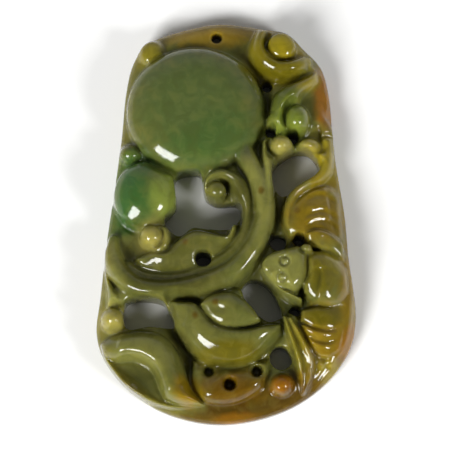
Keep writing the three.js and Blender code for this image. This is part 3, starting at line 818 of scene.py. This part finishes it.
class Socket:
    """A node's output that takes part in sums, each of which adds its Math node."""

    def __init__(self, tree, output):
        self.tree, self.output = tree, output

    def __add__(self, other):
        return arithmetic(self.tree, "ADD", self, other)

    def __sub__(self, other):
        return arithmetic(self.tree, "SUBTRACT", self, other)

    def __rsub__(self, other):
        return arithmetic(self.tree, "SUBTRACT", other, self)

    def __mul__(self, other):
        return arithmetic(self.tree, "MULTIPLY", self, other)

    def step(self, low, high):
        """0 below low, 1 above high, and an even curve between."""
        inputs = {"Value": self, "From Min": low, "From Max": high}
        made = add_node(self.tree, "ShaderNodeMapRange", inputs, interpolation_type="SMOOTHSTEP")
        return Socket(self.tree, made.outputs[0])

    def mix(self, first, second):
        """The first colour where this is 0 and the second where it is 1."""
        made = add_node(self.tree, "ShaderNodeMix", {0: self, 6: first, 7: second}, data_type="RGBA")
        return Socket(self.tree, made.outputs[2])


def colour(red, green, blue):
    """A colour from its screen values of 0 to 255."""
    shares = [value / 255 for value in (red, green, blue)]
    linear = [((v + 0.055) / 1.055) ** 2.4 if v > 0.04 else v / 12.92 for v in shares]
    return (*linear, 1.0)


jade = bpy.data.materials.new("polished_jade")
jade.use_nodes = True
tree = jade.node_tree
shader = tree.nodes["Principled BSDF"]
where = Socket(tree, add_node(tree, "ShaderNodeTexCoord", {}).outputs["Object"])


def stored(name):
    """The number stored for each vertex under this name."""
    made = add_node(tree, "ShaderNodeAttribute", {}, attribute_name=name)
    return Socket(tree, made.outputs["Fac"])


def noise(scale_mm, detail=3.0, distortion=0.0):
    """Soft noise whose features are about this many millimetres across."""
    inputs = {"Vector": where, "Scale": 1 / (scale_mm * MM), "Detail": detail, "Distortion": distortion}
    return Socket(tree, add_node(tree, "ShaderNodeTexNoise", inputs).outputs["Fac"])


cloud = noise(9, detail=4.0, distortion=0.6)
wisps = noise(3.5, detail=5.0, distortion=1.2)
grain = noise(0.7, detail=3.0)
mottle = noise(1.8, detail=6.0, distortion=0.8)
recess = stored("recess")
rim = stored("rim")


def zone(spot, size, turn=0.0, soft=0.65, torn_by=0.35):
    """How far a point lies in an oval patch of colour: 1 in its middle, 0 outside, torn by noise."""
    centre, radii = place([spot])[0] * MM, place([size])[0] * MM
    inputs = {"Vector": where, "Location": (*centre, 0), "Rotation": (0, 0, turn), "Scale": (*radii, 1)}
    moved = add_node(tree, "ShaderNodeMapping", inputs, vector_type="TEXTURE")
    axes = add_node(tree, "ShaderNodeSeparateXYZ", {0: Socket(tree, moved.outputs[0])})
    u, v = Socket(tree, axes.outputs["X"]), Socket(tree, axes.outputs["Y"])
    radius = arithmetic(tree, "SQRT", u * u + v * v) + (wisps - 0.5) * (2 * torn_by)
    return 1 - radius.step(1 - soft, 1.0)


OLIVE = colour(98, 98, 44)
GREY_OLIVE = colour(92, 95, 43)
LIGHT_OLIVE = colour(120, 120, 60)
PALE_GREEN = colour(126, 140, 58)
DARK_OLIVE = colour(70, 70, 26)
PALE_OLIVE = colour(144, 136, 68)
GREY_GREEN = colour(78, 93, 46)
GRASS = colour(58, 90, 38)
SEA_GREEN = colour(46, 90, 40)
LEAF_GREEN = colour(104, 118, 40)
YELLOW_OLIVE = colour(138, 124, 20)
DARK_YELLOW = colour(92, 84, 8)
OCHRE = colour(124, 100, 6)
HONEY = colour(152, 126, 36)
AMBER = colour(94, 66, 0)
RUST = colour(140, 86, 0)
PEAT = colour(64, 40, 0)
# The colour of painted shade, laid in recesses and hollows where shade falls.
PAINTED_SHADE = colour(46, 42, 6)
MOSS = colour(74, 84, 26)
STAIN = colour(84, 60, 8)

# Each patch has its middle, its radii, its colour, its strength and its turn. Most give the
# stone's own colour; the ones noted as painted shade or painted light stand in for light and shade.
PATCHES = (
    ((-4.6, 16.6), (13.4, 12.4), GREY_GREEN, 0.95, 0),
    ((-1, 12), (8, 5), GRASS, 0.5, 0.2),
    ((-7, 9), (8, 4), GRASS, 0.4, 0),
    ((-15.4, 3.8), (7, 8.6), SEA_GREEN, 0.9, 0),
    ((-8.8, 3.4), (3.6, 5.4), PALE_GREEN, 0.8, 0),
    ((-16.6, -2), (3, 4), SEA_GREEN, 0.5, 0),
    # Painted light: a paler patch that brightens the curled bead at the waved leaf's root.
    ((-11.2, -3.6), (3.4, 3.2), PALE_OLIVE, 0.9, 0),
    # Painted shade: darker olive on the lower sweep of the vine, whose slopes face the near side.
    ((-9.4, -10), (11, 3.6), DARK_OLIVE, 0.8, -0.1),
    # Painted shade: darker olive along the low inner band and valley beside the vine.
    ((2.8, 1), (2.4, 7), DARK_OLIVE, 0.8, 0),
    ((-2, 30), (14, 4), OCHRE, 0.95, 0),
    ((-3, 28.6), (10, 2.8), HONEY, 0.6, 0),
    ((-11.5, 26.5), (5, 3), YELLOW_OLIVE, 0.6, 0.9),
    ((8, 24.8), (7, 5.4), YELLOW_OLIVE, 0.95, 0),
    ((7.4, 22.2), (6, 3), DARK_YELLOW, 1, -0.2),
    ((9.4, 14), (4.2, 5.6), LEAF_GREEN, 0.85, 0),
    ((8.3, 10.6), (2.6, 2.4), PALE_OLIVE, 0.9, 0),
    ((14.4, 8), (4.4, 7), YELLOW_OLIVE, 0.9, 0),
    ((12.4, 10.8), (2.6, 2), PALE_OLIVE, 0.5, 0),
    ((15.2, 18.6), (2.6, 7), RUST, 0.9, 0),
    ((14, 0), (7, 7), OCHRE, 0.85, 0),
    ((14.6, -8), (4.4, 4), YELLOW_OLIVE, 0.7, 0),
    ((13.6, -9.6), (3.6, 4), DARK_YELLOW, 0.8, 0),
    ((15, -18), (6, 6.6), OCHRE, 0.95, 0),
    ((14.4, -15.4), (4.6, 2.2), DARK_YELLOW, 0.9, 0),
    ((18.4, -12), (2.2, 12), OCHRE, 0.9, 0),
    ((18.2, -19), (2, 4.4), RUST, 0.7, -0.3),
    ((1.6, -21.6), (6, 2.2), DARK_YELLOW, 0.6, 0),
    ((-14.4, -25.2), (5, 3.4), DARK_OLIVE, 0.8, 0.7),
    ((12.4, -26), (8, 5), AMBER, 0.9, 0.6),
    ((15.2, -23.4), (2.6, 3), YELLOW_OLIVE, 0.7, 0.6),
    ((1.4, -26.4), (8.4, 4.4), AMBER, 0.95, 0),
    ((2, -31), (15, 4), PEAT, 0.95, 0),
    ((-5.6, -26.6), (2.8, 3.6), OCHRE, 0.95, 0.6),
    ((8.3, -25.4), (2.4, 2.4), RUST, 0.8, 0),
    ((3, -30.4), (6, 1.4), RUST, 0.5, 0),
    ((4.8, 25.2), (2.4, 4.4), DARK_YELLOW, 0.5, 0),
    ((8.6, 17.8), (2.6, 2.4), MOSS, 0.8, 0),
    ((12.6, 20.8), (2.6, 1.8), YELLOW_OLIVE, 0.9, 0.6),
    ((9.6, -28.8), (9, 3.4), PEAT, 1, 0.35),
    ((8.4, -8.6), (5, 5), LIGHT_OLIVE, 0.9, 0),
    ((5, 7), (3, 5.4), LIGHT_OLIVE, 1, 0),
    ((6, 1), (1.8, 6), LIGHT_OLIVE, 0.6, 0),
    ((-15.6, -8.6), (2.6, 3), DARK_OLIVE, 0.5, 0),
    # Painted shade: darker ground inside the scroll, between its bead and its band.
    ((0.6, 4.6), (3.6, 3.4), DARK_OLIVE, 0.5, 0),
    ((-6, -6), (9, 3.2), DARK_OLIVE, 0.5, 0.2),
    ((5.4, -3), (2.4, 5), LIGHT_OLIVE, 0.4, -0.3),
    ((-12, -20.4), (8, 4.4), LIGHT_OLIVE, 0.6, 0),
    ((-17, -11), (3, 6), LIGHT_OLIVE, 0.8, 0),
    # Painted light: a lighter patch that lifts the shade in the hollow at the vine's left end.
    ((-15.6, -5), (3, 3), LIGHT_OLIVE, 0.9, 0),
    ((-16.8, -15.7), (3.4, 3.2), PALE_OLIVE, 1, 0),
    ((0.6, -21), (8, 2.4), DARK_YELLOW, 0.9, 0.1),
    # Partly the blade's own yellow, partly painted light that lifts the shade on the blade.
    ((10.6, -20), (2, 6.5), YELLOW_OLIVE, 0.4, 0.3),
    # Painted shade: on the pod under the crescent's lower edge, and in the hollow left of the crescent.
    ((-0.6, -23), (5, 1.1), PAINTED_SHADE, 0.6, 0),
    ((-6.4, -20), (1.6, 4.6), PAINTED_SHADE, 0.6, 0.5),
)
STAINS = ((5.2, 3.3), (-4.6, -15.6), (-1.6, -13.6), (-6.1, -4.4), (10.6, 0.6))
STAIN_SIZE = (0.7, 0.8)

# Clouds in the olive come first, then the patches, a few of them painted light and shade, the
# stains, a darker and a paler mottling, the warmer rim and painted shade darkening the recesses.
tint = (cloud.step(0.4, 0.65)).mix(OLIVE, GREY_OLIVE)
for spot, size, shade, strength, turn in PATCHES:
    tint = (zone(spot, size, turn) * strength).mix(tint, shade)
for spot in STAINS:
    tint = (zone(spot, STAIN_SIZE, soft=0.8) * 0.8).mix(tint, STAIN)
tint = (mottle.step(0.44, 0.7) * 0.25).mix(tint, DARK_OLIVE)
tint = ((1 - mottle.step(0.3, 0.56)) * 0.12).mix(tint, PALE_OLIVE)
tint = ((1 - rim.step(0.2, 2.2)) * 0.2).mix(tint, OCHRE)
# Painted shade: the deeper a point lies in a recess, the more its colour goes to the shade colour.
tint = (recess.step(0.6, 1.6) * 0.4).mix(tint, PAINTED_SHADE)

tree.links.new(tint.output, shader.inputs["Base Color"])
shader.inputs["Roughness"].default_value = 0.09
shader.inputs["IOR"].default_value = 1.42
shader.inputs["Subsurface Weight"].default_value = 0.8
shader.inputs["Subsurface Radius"].default_value = (1.0, 0.9, 0.35)
shader.inputs["Subsurface Scale"].default_value = 0.0024
bump = add_node(tree, "ShaderNodeBump", {"Strength": 0.08, "Distance": 0.0002, "Height": grain})
tree.links.new(bump.outputs[0], shader.inputs["Normal"])
pendant.data.materials.clear()
pendant.data.materials.append(jade)

# The floor, the light and the camera.
# A pale table, two square soft boxes low at the near corners, and a long lens looking down.
FLOOR_HALF = 0.2
FLOOR_DROP = 0.00002
PAPER = (0.9, 0.9, 0.89, 1)
corners = [(x * FLOOR_HALF, y * FLOOR_HALF, -FLOOR_DROP) for x, y in ((-1, -1), (1, -1), (1, 1), (-1, 1))]
floor_mesh = bpy.data.meshes.new("table")
floor_mesh.from_pydata(corners, [], [(0, 1, 2, 3)])
table = bpy.data.objects.new("table", floor_mesh)
bpy.context.scene.collection.objects.link(table)
paper = bpy.data.materials.new("white_paper")
paper.use_nodes = True
surface = paper.node_tree.nodes["Principled BSDF"]
surface.inputs["Base Color"].default_value = PAPER
surface.inputs["Roughness"].default_value = 0.9
table.data.materials.append(paper)


def softbox(name, azimuth, elevation, distance, side, power):
    """A square area light at this direction from the pendant, facing it."""
    light = bpy.data.lights.new(name, "AREA")
    light.shape, light.size, light.energy = "SQUARE", side, power
    lamp = bpy.data.objects.new(name, light)
    turn, lift = math.radians(azimuth), math.radians(elevation)
    level_part = math.cos(lift)
    towards = (math.cos(turn) * level_part, math.sin(turn) * level_part, math.sin(lift))
    lamp.location = np.array(towards) * distance
    lamp.rotation_euler = (math.pi / 2 - lift, 0, turn + math.pi / 2)
    bpy.context.scene.collection.objects.link(lamp)


softbox("near_left_box", 230, 35, 1.2, 0.5, 20)
softbox("near_right_box", 328, 31, 1.2, 0.3, 9)

# The room beyond is a dim bowl that brightens evenly towards the far side and darkens overhead.
NEAR_GLOW = 0.2
FAR_GLOW = 0.66
OVERHEAD_SHARE = 0.4
SHADE_STARTS = 0.45
SHADE_FULL = 0.85
world = bpy.data.worlds.new("studio")
bpy.context.scene.world = world
world.use_nodes = True
room = world.node_tree
backdrop = room.nodes["Background"]
view = add_node(room, "ShaderNodeTexCoord", {}).outputs["Generated"]
parts = add_node(room, "ShaderNodeSeparateXYZ", {0: Socket(room, view)})
northward, upward = Socket(room, parts.outputs["Y"]), Socket(room, parts.outputs["Z"])
ends = {"Value": northward, "To Min": NEAR_GLOW, "To Max": FAR_GLOW}
glow = Socket(room, add_node(room, "ShaderNodeMapRange", ends).outputs[0])
strength = glow * (1 - upward.step(SHADE_STARTS, SHADE_FULL) * (1 - OVERHEAD_SHARE))
room.links.new(strength.output, backdrop.inputs["Strength"])
backdrop.inputs["Color"].default_value = (1, 1, 1, 1)
bpy.context.scene.view_settings.view_transform = "Standard"

# The camera, with its focal length and the photo's middle column in pixels of its frame.
CAMERA_TILT = math.radians(12)
CAMERA_DISTANCE = 0.33
CAMERA_TARGET = (0, -0.0011, 0.004)
SENSOR = 36.0
FRAME_WIDTH = 450
FOCAL_PIXELS = 2193
MIDDLE_COLUMN = 226.3
camera_data = bpy.data.cameras.new("camera")
camera_data.sensor_width = SENSOR
camera_data.lens = SENSOR * FOCAL_PIXELS / FRAME_WIDTH
camera_data.shift_x = (FRAME_WIDTH / 2 - MIDDLE_COLUMN) / FRAME_WIDTH
camera = bpy.data.objects.new("camera", camera_data)
backwards = np.array((0, -math.sin(CAMERA_TILT), math.cos(CAMERA_TILT)))
camera.location = CAMERA_TARGET + CAMERA_DISTANCE * backwards
camera.rotation_euler = (CAMERA_TILT, 0, 0)
bpy.context.scene.collection.objects.link(camera)
bpy.context.scene.camera = camera
